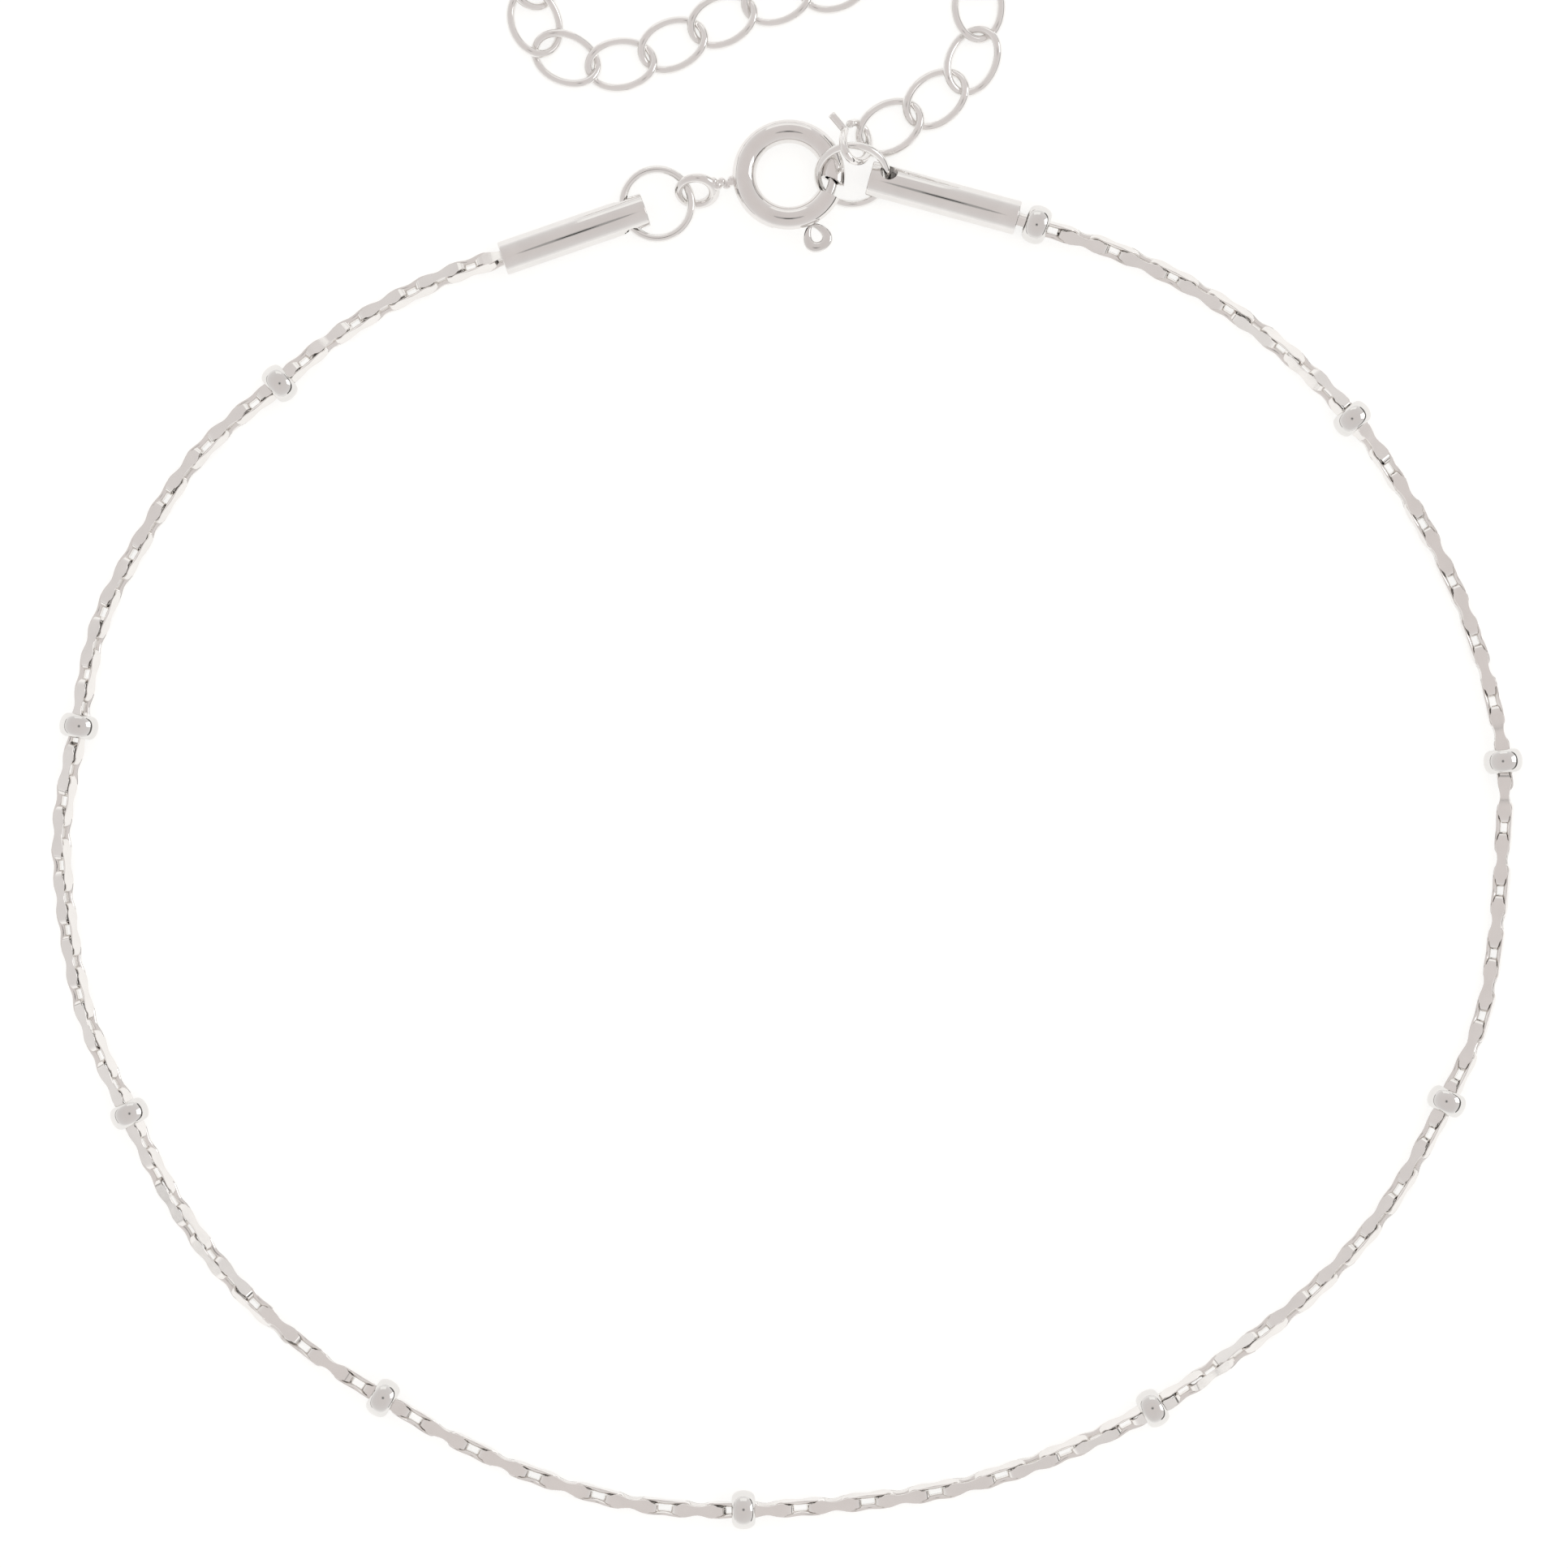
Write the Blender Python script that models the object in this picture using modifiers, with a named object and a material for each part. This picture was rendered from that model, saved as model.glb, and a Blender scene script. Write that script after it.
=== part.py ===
"""A fine faceted chain bracelet: ten threaded beads, two tube end caps, two jump rings, a bolt ring
clasp and an extension chain. It lies flat on Z = 0 with its clasp closed. Metres, +Z up, seen from
above with +Y away from the wearer's side of the loop and towards the clasp."""

import math

import bmesh
import bpy
from mathutils import Matrix, Vector

MM = 0.001

# Chain
CHAIN_THICKNESS = 0.72 * MM
CHAIN_IN_CAP = 1.6 * MM
CHAIN_RISE_LENGTH = 4.0 * MM
POINTS_BETWEEN_BEADS = 6
POINTS_BEFORE_FIRST_BEAD = 4

# Beads
BEAD_DIAMETER = 1.78 * MM
BEAD_LENGTH = 1.08 * MM
BEAD_BORE = 0.82 * MM
BEAD_SIDES = 24
BEAD_PROFILE_STEPS = 8
BEAD_ROUNDNESS = 0.8
BEAD_STRAIGHT_HALF = 0.8 * MM

# End caps
CAP_DIAMETER = 1.57 * MM
CAP_BORE = 1.0 * MM
CAP_EDGE = 0.08 * MM
CAP_SIDES = 24
CAP_AXIS_HEIGHT = CAP_DIAMETER / 2 * math.cos(math.pi / CAP_SIDES)
LEFT_CAP_RING_END = Vector((-6.41, 23.30)) * MM
LEFT_CAP_CHAIN_END = Vector((-12.90, 21.06)) * MM
RIGHT_CAP_RING_END = Vector((3.71, 24.73)) * MM
RIGHT_CAP_CHAIN_END = Vector((10.44, 22.90)) * MM

# Jump rings: plan centre, height of the centre, and how far the far side is lifted
LEFT_RING_WIRE = 0.36 * MM
LEFT_RING_OUTER = 3.50 * MM
LEFT_RING_CENTRE = Vector((-5.897, 23.555, 0.755)) * MM
LEFT_RING_TILT = 0
RIGHT_RING_WIRE = 0.34 * MM
RIGHT_RING_OUTER = 3.50 * MM
RIGHT_RING_CENTRE = Vector((2.94, 24.82, 1.15)) * MM
RIGHT_RING_TILT = 38

# Bolt ring clasp, built flat round its own centre and then set in place
CLASP_CENTRE = Vector((0.07, 24.83, 1.08)) * MM
CLASP_TILT = -8
CLASP_OUTER = 5.10 * MM
CLASP_TUBE = 1.04 * MM
CLASP_WALL = 0.16 * MM
CLASP_GAP_UPPER = -7
CLASP_GAP_LOWER = -28
CLASP_RADIUS = (CLASP_OUTER - CLASP_TUBE) / 2
CLASP_POINTS = 61
SLOT_END = -106
SLOT_HEIGHT = 0.5 * MM
SLOT_LIFT = 0.11 * MM
SLOT_STEP = 4
SLOT_DEPTH = 0.45 * MM
EYELET_CENTRE = Vector((-4.12, 24.125, 0.82)) * MM
EYELET_RADIUS = 0.81 * MM
EYELET_WIRE = 0.38 * MM
EYELET_TILT = 48
NECK_DIAMETER = 0.36 * MM
NECK_AT_EYELET = Vector((-3.40, 24.43, 1.13)) * MM
NECK_AT_TUBE = Vector((-2.36, 24.49, 1.12)) * MM

# Bolt and its trigger loop
BOLT_WIRE = 0.44 * MM
BOLT_TIP = 3
BOLT_TAIL = -75
BOLT_STEP = 6
TRIGGER_ANGLE = -66
TRIGGER_LIFT = 0.1 * MM
TRIGGER_NECK = 0.30 * MM
TRIGGER_NECK_IN_LOOP = 0.075 * MM
TRIGGER_INNER_END = 2.48 * MM
TRIGGER_OUTER_END = 3.80 * MM
TRIGGER_WIDTH = 1.31 * MM
TRIGGER_THICKNESS = 0.36 * MM
TRIGGER_TAPER = 0.18
TRIGGER_SIDES = 28
TRIGGER_HOLE = (2.62 * MM, 3.35 * MM)
TRIGGER_HOLE_WIDTH = 0.30 * MM
TRIGGER_HOLE_TAPER = 0.45

# Extension chain
EXTENSION_THICKNESS = 1.6 * MM
EXTENSION_POINTS = 26

# The holes that the jump rings pass through. Columns: cap, distance from the cap's ring end and
# diameter in millimetres, direction in degrees (0 is level towards +Y, 90 is straight up).
CAP_HOLES = (
    ("end_cap_left", 0.90, 0.86, 0),
    ("end_cap_left", 0.90, 0.86, 180),
    ("end_cap_right", 0.88, 0.94, 54),
    ("end_cap_right", 0.58, 0.66, 204),
)

# The chain's route seen from above, in millimetres, from the left cap round to the right cap.
# Columns: x, y, whether a bead sits there.
CHAIN_ROUTE = (
    (-13.74, 20.88, False),
    (-15.77, 20.15, False),
    (-18.41, 18.85, False),
    (-20.86, 17.24, False),
    (-22.97, 15.40, True),
    (-26.51, 12.39, False),
    (-29.11, 8.56, False),
    (-31.21, 4.43, False),
    (-32.05, -0.11, True),
    (-32.87, -4.56, False),
    (-32.61, -9.08, False),
    (-31.69, -13.51, False),
    (-29.77, -17.64, True),
    (-27.84, -21.57, False),
    (-25.25, -25.15, False),
    (-22.02, -28.16, False),
    (-18.30, -30.51, True),
    (-14.54, -32.72, False),
    (-10.54, -34.40, False),
    (-6.33, -35.43, False),
    (-1.98, -35.58, True),
    (2.82, -35.32, False),
    (7.60, -34.61, False),
    (12.19, -33.15, False),
    (16.54, -30.99, True),
    (20.59, -28.32, False),
    (24.38, -25.21, False),
    (27.50, -21.47, False),
    (29.84, -17.09, True),
    (31.44, -13.54, False),
    (32.14, -9.63, False),
    (32.44, -5.66, False),
    (32.42, -1.69, True),
    (31.58, 2.52, False),
    (30.11, 6.56, False),
    (28.05, 10.35, False),
    (25.58, 13.82, True),
    (22.58, 16.89, False),
    (19.12, 19.38, False),
    (15.30, 21.28, False),
    (11.28, 22.56, True),
)

# The extension chain's route seen from above, in millimetres, from the right jump ring to its end.
# Columns: x, y.
EXTENSION_ROUTE = (
    (3.60, 26.56),
    (4.71, 26.99),
    (6.80, 28.28),
    (8.38, 30.04),
    (8.72, 32.25),
    (8.20, 34.40),
    (6.50, 35.55),
    (4.40, 34.60),
    (2.21, 33.35),
    (-0.18, 32.43),
    (-2.83, 31.81),
    (-5.11, 30.74),
    (-7.54, 29.86),
    (-10.04, 30.19),
    (-11.44, 31.70),
    (-11.50, 33.85),
    (-10.70, 35.60),
)

# Finish of each kind of piece. Columns: base colour, roughness.
FINISHES = {
    "chain_silver": ((0.80, 0.78, 0.76), 0.26),
    "bead_silver": ((0.86, 0.84, 0.83), 0.10),
    "cap_silver": ((0.84, 0.82, 0.81), 0.14),
    "ring_silver": ((0.82, 0.80, 0.79), 0.18),
    "clasp_silver": ((0.84, 0.82, 0.81), 0.14),
    "bolt_silver": ((0.80, 0.78, 0.77), 0.20),
    "extension_silver": ((0.80, 0.78, 0.77), 0.20),
}


def clear_scene():
    for obj in list(bpy.data.objects):
        bpy.data.objects.remove(obj, do_unlink=True)


def make_collection(name):
    made = bpy.data.collections.new(name)
    bpy.context.scene.collection.children.link(made)
    return made


def make_finish(name):
    colour, roughness = FINISHES[name]
    made = bpy.data.materials.new(name)
    made.use_nodes = True
    shader = made.node_tree.nodes["Principled BSDF"]
    shader.inputs["Base Color"].default_value = (*colour, 1)
    shader.inputs["Roughness"].default_value = roughness
    shader.inputs["Metallic"].default_value = 1
    return made


def add_object(name, data, collection, matrix=None):
    obj = bpy.data.objects.new(name, data)
    collection.objects.link(obj)
    if matrix is not None:
        obj.matrix_world = matrix
    return obj


def make_helper(obj):
    """A cutter or a shape that a Boolean joins: it isn't a piece of its own."""
    obj.hide_render = True
    obj.display_type = "WIRE"
    return obj


def add_boolean(obj, other, operation):
    step = obj.modifiers.new(f"{operation.lower()} {other.name}", "BOOLEAN")
    step.operation = operation
    step.solver = "EXACT"
    step.object = other


def turned(degrees):
    """A tilt about X: positive lifts the +Y side."""
    return Matrix.Rotation(math.radians(degrees), 4, "X")


def on_circle(radius, degrees, height=0.0):
    angle = math.radians(degrees)
    return Vector((radius * math.cos(angle), radius * math.sin(angle), height))


def smooth_curve(points, steps=24):
    """Close samples of the Catmull-Rom curve through points, with its ends continued straight."""
    ends = [2 * points[0] - points[1], *points, 2 * points[-1] - points[-2]]
    samples = []
    for a, b, c, d in zip(ends, ends[1:], ends[2:], ends[3:]):
        for step in range(steps):
            t = step / steps
            linear = (c - a) * t
            square = (2 * a - 5 * b + 4 * c - d) * t**2
            cubic = (3 * b - a - 3 * c + d) * t**3
            samples.append((2 * b + linear + square + cubic) / 2)
    samples.append(points[-1])
    return samples


class Route:
    """A plan curve that is read by the distance along it."""

    def __init__(self, points, steps=24):
        self.samples = smooth_curve(points, steps)
        self.at = [0.0]
        for a, b in zip(self.samples, self.samples[1:]):
            self.at.append(self.at[-1] + (b - a).length)
        self.knots = [self.at[i * steps] for i in range(len(points))]
        self.length = self.at[-1]

    def point(self, distance):
        distance = min(max(distance, 0.0), self.length)
        for i in range(1, len(self.at)):
            if self.at[i] >= distance:
                share = (distance - self.at[i - 1]) / (self.at[i] - self.at[i - 1])
                return self.samples[i - 1].lerp(self.samples[i], share)
        return self.samples[-1]


def wire_curve(name, points, diameter, collection, resolution=2, closed_ends=True, matrix=None):
    """A tube along points, as a curve object."""
    data = bpy.data.curves.new(name, "CURVE")
    data.dimensions = "3D"
    data.twist_mode = "Z_UP"
    data.bevel_depth = diameter / 2
    data.bevel_resolution = resolution
    data.use_fill_caps = closed_ends
    spline = data.splines.new("POLY")
    spline.points.add(len(points) - 1)
    for target, point in zip(spline.points, points):
        target.co = (*point, 1)
    return add_object(name, data, collection, matrix)


def as_mesh(curve_obj, collection, weld=1e-6):
    """The curve object as a mesh object, with its caps welded on."""
    bpy.context.view_layer.update()
    graph = bpy.context.evaluated_depsgraph_get()
    mesh = bpy.data.meshes.new_from_object(curve_obj.evaluated_get(graph))
    shape = bmesh.new()
    shape.from_mesh(mesh)
    bmesh.ops.remove_doubles(shape, verts=shape.verts, dist=weld)
    bmesh.ops.recalc_face_normals(shape, faces=shape.faces)
    shape.to_mesh(mesh)
    shape.free()
    name, matrix = curve_obj.name, curve_obj.matrix_world.copy()
    bpy.data.objects.remove(curve_obj, do_unlink=True)
    return add_object(name, mesh, collection, matrix)


def turned_mesh(name, profile):
    """A mesh that holds only a profile, for a Screw modifier about Z."""
    mesh = bpy.data.meshes.new(name)
    edges = [(i, (i + 1) % len(profile)) for i in range(len(profile))]
    mesh.from_pydata([(radius, 0, height) for radius, height in profile], edges, [])
    return mesh


def add_screw(obj, sides):
    step = obj.modifiers.new("turn", "SCREW")
    step.axis = "Z"
    step.steps = sides
    step.render_steps = sides
    step.use_merge_vertices = True
    step.merge_threshold = 1e-7
    step.use_smooth_shade = True
    step.use_normal_calculate = False


def torus(name, radius, wire, collection, matrix, around=40, across=8):
    """A ring of round wire."""
    section = [
        (radius + wire / 2 * math.cos(a), -wire / 2 * math.sin(a))
        for a in (2 * math.pi * i / across for i in range(across))
    ]
    obj = add_object(name, turned_mesh(name, section), collection, matrix)
    add_screw(obj, around)
    return obj


def rod(name, start, end, diameter, collection, sides=12):
    """A plain round bar between two points."""
    mesh = bpy.data.meshes.new(name)
    shape = bmesh.new()
    bmesh.ops.create_cone(
        shape,
        cap_ends=True,
        segments=sides,
        radius1=diameter / 2,
        radius2=diameter / 2,
        depth=(end - start).length,
    )
    shape.to_mesh(mesh)
    shape.free()
    turn = (end - start).to_track_quat("Z", "Y").to_matrix().to_4x4()
    return add_object(name, mesh, collection, Matrix.Translation((start + end) / 2) @ turn)


def flat_plate(name, outlines, thickness, collection, matrix):
    """A plate with the first outline as its edge and the others as holes."""
    data = bpy.data.curves.new(name, "CURVE")
    data.dimensions = "2D"
    data.fill_mode = "BOTH"
    data.extrude = thickness / 2
    for outline in outlines:
        spline = data.splines.new("POLY")
        spline.points.add(len(outline) - 1)
        for target, (x, y) in zip(spline.points, outline):
            target.co = (x, y, 0, 1)
        spline.use_cyclic_u = True
    return as_mesh(add_object(name, data, collection, matrix), collection)


def egg(near, far, width, taper, sides):
    """An egg outline along X from near to far, wider towards far by taper."""
    middle, half = (near + far) / 2, (far - near) / 2
    angles = [2 * math.pi * i / sides for i in range(sides)]
    return [
        (middle + half * math.cos(a), width / 2 * math.sin(a) * (1 + taper * math.cos(a))) for a in angles
    ]


def chain_points(route, bead_places, cap_ends):
    """The chain's points: straight through each bead and cap, and down on the surface between them."""
    low = CHAIN_THICKNESS / 2
    supports = [(place, BEAD_DIAMETER / 2) for place in bead_places]
    supports += [(place, CAP_AXIS_HEIGHT) for place in cap_ends]

    def height(distance):
        best = low
        for place, high in supports:
            away = max(0.0, abs(distance - place) - BEAD_STRAIGHT_HALF) / CHAIN_RISE_LENGTH
            if away < 1:
                best = max(best, low + (high - low) * (0.5 + 0.5 * math.cos(math.pi * away)))
        return best

    stations = []
    previous = cap_ends[0]
    for place in bead_places:
        first = previous == cap_ends[0]
        count = POINTS_BEFORE_FIRST_BEAD if first else POINTS_BETWEEN_BEADS
        start, end = previous + BEAD_STRAIGHT_HALF, place - BEAD_STRAIGHT_HALF
        stations += [start + (end - start) * (i + 1) / (count + 1) for i in range(count)]
        stations += [end, place + BEAD_STRAIGHT_HALF]
        previous = place
    points = [route.point(0).to_3d() + Vector((0, 0, CAP_AXIS_HEIGHT))]
    points += [route.point(cap_ends[0]).to_3d() + Vector((0, 0, CAP_AXIS_HEIGHT))]
    points += [route.point(s).to_3d() + Vector((0, 0, height(s))) for s in stations]
    points += [route.point(route.length).to_3d() + Vector((0, 0, CAP_AXIS_HEIGHT))]
    return points


def build_chain(parts):
    left_axis = (LEFT_CAP_RING_END - LEFT_CAP_CHAIN_END).normalized()
    right_axis = (RIGHT_CAP_RING_END - RIGHT_CAP_CHAIN_END).normalized()
    plan = [LEFT_CAP_CHAIN_END + left_axis * CHAIN_IN_CAP, LEFT_CAP_CHAIN_END]
    plan += [Vector((x, y)) * MM for x, y, _ in CHAIN_ROUTE]
    plan += [RIGHT_CAP_CHAIN_END, RIGHT_CAP_CHAIN_END + right_axis * CHAIN_IN_CAP]
    route = Route(plan)
    bead_places = [route.knots[i + 2] for i, row in enumerate(CHAIN_ROUTE) if row[2]]
    cap_ends = (route.knots[1], route.knots[-2])
    points = chain_points(route, bead_places, cap_ends)
    chain = wire_curve("chain", points, CHAIN_THICKNESS, parts)
    chain.data.materials.append(make_finish("chain_silver"))
    reach = BEAD_STRAIGHT_HALF
    return [(route.point(s - reach), route.point(s + reach)) for s in bead_places]


def bead_profile():
    """Half a rounded rondelle, from the top of its bore down its outer side and back up the bore."""
    bore, reach = BEAD_BORE / 2, (BEAD_DIAMETER - BEAD_BORE) / 2
    angles = [math.pi / 2 - math.pi * i / BEAD_PROFILE_STEPS for i in range(BEAD_PROFILE_STEPS + 1)]
    return [
        (bore + reach * max(0.0, math.cos(a)) ** BEAD_ROUNDNESS, BEAD_LENGTH / 2 * math.sin(a))
        for a in angles
    ]


def build_beads(parts, straights):
    """A bead in the middle of each straight stretch of the chain."""
    mesh = turned_mesh("bead", bead_profile())
    mesh.materials.append(make_finish("bead_silver"))
    for number, (start, end) in enumerate(straights, start=1):
        centre = ((start + end) / 2).to_3d() + Vector((0, 0, BEAD_DIAMETER / 2))
        turn = (end - start).to_3d().to_track_quat("Z", "Y").to_matrix().to_4x4()
        bead = add_object(f"bead_{number:02d}", mesh, parts, Matrix.Translation(centre) @ turn)
        add_screw(bead, BEAD_SIDES)


def cap_profile(length):
    outer, bore, edge = CAP_DIAMETER / 2, CAP_BORE / 2, CAP_EDGE
    return [
        (bore, length),
        (outer - edge, length),
        (outer, length - edge),
        (outer, edge),
        (outer - edge, 0),
        (bore, 0),
    ]


def build_cap(name, ring_end, chain_end, parts, helpers, finish):
    """A tube cap. Its own Z runs from the ring end to the chain end, and a flat side faces down."""
    along = (chain_end - ring_end).to_3d()
    level = Vector((-along.y, along.x, 0)).normalized()
    if level.y < 0:
        level.negate()
    up = Vector((0, 0, 1))
    base = ring_end.to_3d() + up * CAP_AXIS_HEIGHT
    turn = along.to_track_quat("Z", "Y").to_matrix().to_4x4()
    half_side = Matrix.Rotation(math.pi / CAP_SIDES, 4, "Z")
    mesh = turned_mesh(name, cap_profile(along.length))
    mesh.materials.append(finish)
    cap = add_object(name, mesh, parts, Matrix.Translation(base) @ turn @ half_side)
    add_screw(cap, CAP_SIDES)
    holes = [row for row in CAP_HOLES if row[0] == name]
    for number, (_, from_end, diameter, direction) in enumerate(holes, start=1):
        angle = math.radians(direction)
        start = base + along.normalized() * from_end * MM
        end = start + (level * math.cos(angle) + up * math.sin(angle)) * CAP_DIAMETER
        cutter = rod(f"{name}_hole_{number}", start, end, diameter * MM, helpers, CAP_SIDES)
        add_boolean(cap, make_helper(cutter), "DIFFERENCE")


def build_jump_rings(parts):
    finish = make_finish("ring_silver")
    rings = (
        ("jump_ring_left", LEFT_RING_OUTER, LEFT_RING_WIRE, LEFT_RING_CENTRE, LEFT_RING_TILT),
        ("jump_ring_right", RIGHT_RING_OUTER, RIGHT_RING_WIRE, RIGHT_RING_CENTRE, RIGHT_RING_TILT),
    )
    for name, outer, wire, centre, tilt in rings:
        seat = Matrix.Translation(centre) @ turned(tilt)
        ring = torus(name, (outer - wire) / 2, wire, parts, seat)
        ring.data.materials.append(finish)


def clasp_seat():
    return Matrix.Translation(CLASP_CENTRE) @ turned(CLASP_TILT)


def build_clasp_ring(parts, helpers):
    """The hollow tube ring with its gap and trigger slot, and the soldered neck and eyelet."""
    sweep = 360 + CLASP_GAP_LOWER - CLASP_GAP_UPPER
    angles = [CLASP_GAP_UPPER + sweep * i / (CLASP_POINTS - 1) for i in range(CLASP_POINTS)]
    path = [on_circle(CLASP_RADIUS, a) for a in angles]
    skin = wire_curve(
        "clasp_ring", path, CLASP_TUBE, parts, resolution=4, closed_ends=False, matrix=clasp_seat()
    )
    ring = as_mesh(skin, parts)
    ring.data.materials.append(make_finish("clasp_silver"))
    wall = ring.modifiers.new("wall", "SOLIDIFY")
    wall.thickness = CLASP_WALL
    wall.offset = -1
    wall.use_even_offset = True

    inner, outer = CLASP_OUTER / 2 - SLOT_DEPTH, CLASP_OUTER / 2 + CLASP_WALL
    turns = list(range(SLOT_END, CLASP_GAP_LOWER + 2 * SLOT_STEP, SLOT_STEP))
    band = [on_circle(outer, a).to_2d() for a in turns] + [on_circle(inner, a).to_2d() for a in turns[::-1]]
    lift = Matrix.Translation((0, 0, SLOT_LIFT))
    slot = make_helper(flat_plate("trigger_slot", [band], SLOT_HEIGHT, helpers, clasp_seat() @ lift))
    add_boolean(ring, slot, "DIFFERENCE")

    eyelet_seat = Matrix.Translation(EYELET_CENTRE) @ turned(EYELET_TILT)
    eyelet = make_helper(torus("eyelet", EYELET_RADIUS, EYELET_WIRE, helpers, eyelet_seat, 32, 10))
    neck = make_helper(rod("eyelet_neck", NECK_AT_EYELET, NECK_AT_TUBE, NECK_DIAMETER, helpers))
    add_boolean(ring, eyelet, "UNION")
    add_boolean(ring, neck, "UNION")


def build_clasp_bolt(parts, helpers):
    """The bolt: a curved wire in the tube, a neck through the slot, and a flat trigger loop."""
    angles = range(BOLT_TAIL, BOLT_TIP + 1, BOLT_STEP)
    path = [on_circle(CLASP_RADIUS, a) for a in angles]
    wire = wire_curve("clasp_bolt", path, BOLT_WIRE, parts, matrix=clasp_seat())
    bolt = as_mesh(wire, parts)
    bolt.data.materials.append(make_finish("bolt_silver"))

    aim = Matrix.Rotation(math.radians(TRIGGER_ANGLE), 4, "Z")
    seat = clasp_seat() @ aim @ Matrix.Translation((0, 0, TRIGGER_LIFT))
    outer = egg(TRIGGER_INNER_END, TRIGGER_OUTER_END, TRIGGER_WIDTH, TRIGGER_TAPER, TRIGGER_SIDES)
    hole = egg(*TRIGGER_HOLE, TRIGGER_HOLE_WIDTH, TRIGGER_HOLE_TAPER, TRIGGER_SIDES // 2)
    loop = make_helper(flat_plate("trigger_loop", [outer, hole], TRIGGER_THICKNESS, helpers, seat))
    neck_start = seat @ Vector((CLASP_RADIUS, 0, 0))
    neck_end = seat @ Vector((TRIGGER_INNER_END + TRIGGER_NECK_IN_LOOP, 0, 0))
    neck = make_helper(rod("trigger_neck", neck_start, neck_end, TRIGGER_NECK, helpers, sides=10))
    add_boolean(bolt, neck, "UNION")
    add_boolean(bolt, loop, "UNION")


def build_extension(parts):
    route = Route([Vector(row) * MM for row in EXTENSION_ROUTE])
    height = Vector((0, 0, EXTENSION_THICKNESS / 2))
    stations = [route.length * i / (EXTENSION_POINTS - 1) for i in range(EXTENSION_POINTS)]
    points = [route.point(s).to_3d() + height for s in stations]
    extension = wire_curve("extension_chain", points, EXTENSION_THICKNESS, parts)
    extension.data.materials.append(make_finish("extension_silver"))


def main():
    clear_scene()
    parts = make_collection("bracelet")
    helpers = make_collection("cutters and joined shapes")
    build_beads(parts, build_chain(parts))
    finish = make_finish("cap_silver")
    build_cap("end_cap_left", LEFT_CAP_RING_END, LEFT_CAP_CHAIN_END, parts, helpers, finish)
    build_cap("end_cap_right", RIGHT_CAP_RING_END, RIGHT_CAP_CHAIN_END, parts, helpers, finish)
    build_jump_rings(parts)
    build_clasp_ring(parts, helpers)
    build_clasp_bolt(parts, helpers)
    build_extension(parts)


main()
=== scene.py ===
import math
import random

import bmesh
import bpy
from mathutils import Matrix, Vector


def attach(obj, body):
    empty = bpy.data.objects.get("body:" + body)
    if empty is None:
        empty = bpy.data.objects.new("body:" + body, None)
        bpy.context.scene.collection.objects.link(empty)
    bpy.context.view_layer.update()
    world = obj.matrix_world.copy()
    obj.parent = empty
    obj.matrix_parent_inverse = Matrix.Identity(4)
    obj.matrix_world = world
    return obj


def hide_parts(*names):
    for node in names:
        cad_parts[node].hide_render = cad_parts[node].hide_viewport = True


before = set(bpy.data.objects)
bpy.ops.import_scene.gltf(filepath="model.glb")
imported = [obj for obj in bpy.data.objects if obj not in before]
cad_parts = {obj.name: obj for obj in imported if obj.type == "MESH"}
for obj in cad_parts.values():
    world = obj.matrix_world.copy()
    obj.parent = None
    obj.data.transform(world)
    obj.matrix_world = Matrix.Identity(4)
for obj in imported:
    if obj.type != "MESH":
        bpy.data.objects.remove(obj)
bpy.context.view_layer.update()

MM = 0.001
UP = Vector((0, 0, 1))

# The camera looks straight down. It sees the view's width at the view's distance, and its sensor is in
# millimetres.
CAMERA_PLACE = Vector((-0.147, -2.723, 300.4)) * MM
VIEW_DISTANCE = 300 * MM
VIEW_WIDTH = 71.0976 * MM
SENSOR = 36

# The chain: the length of its rise to a bead or cap, its length in a cap, the lowest height of its
# middle, half its straight stretch in a bead, and the samples from one point of its route to the next.
CHAIN_RISE_LENGTH = 4.0 * MM
CHAIN_IN_CAP = 1.6 * MM
CHAIN_LOW = 0.36 * MM
STRAIGHT_HALF = 0.8 * MM
CURVE_STEPS = 24

# The beads and caps. Their bores are wider than in the CAD, so that the links clear.
BEAD_DIAMETER = 1.78 * MM
BEAD_LENGTH = 1.08 * MM
BEAD_BORE = 0.98 * MM
BEAD_ROUNDNESS = 0.8
BEAD_SIDES = 96
BEAD_STEPS = 20
CAP_DIAMETER = 1.57 * MM
CAP_BORE = 1.08 * MM
CAP_EDGE = 0.07 * MM
CAP_INNER_EDGE = CAP_EDGE * 0.5
CAP_CORNER_STEPS = 5
CAP_INNER_CORNER_STEPS = 3
CAP_SIDES = 96
CAP_AXIS_HEIGHT = 0.7783 * MM
LEFT_CAP_RING_END = Vector((-6.41, 23.30)) * MM
LEFT_CAP_CHAIN_END = Vector((-12.90, 21.06)) * MM
RIGHT_CAP_RING_END = Vector((3.71, 24.73)) * MM
RIGHT_CAP_CHAIN_END = Vector((10.44, 22.90)) * MM

# The holes that the jump rings pass through, and a notch in the left cap's end. Columns: cap, distance
# from the cap's ring end and diameter in millimetres, direction in degrees (0 is level towards +Y, 90
# is straight up).
CAP_HOLES = (
    ("end_cap_left", 0.90, 0.86, 0),
    ("end_cap_left", 0.90, 0.86, 180),
    ("end_cap_left", 0.30, 0.62, 192),
    ("end_cap_right", 0.80, 0.80, 54),
    ("end_cap_right", 0.58, 0.66, 204),
)

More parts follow.
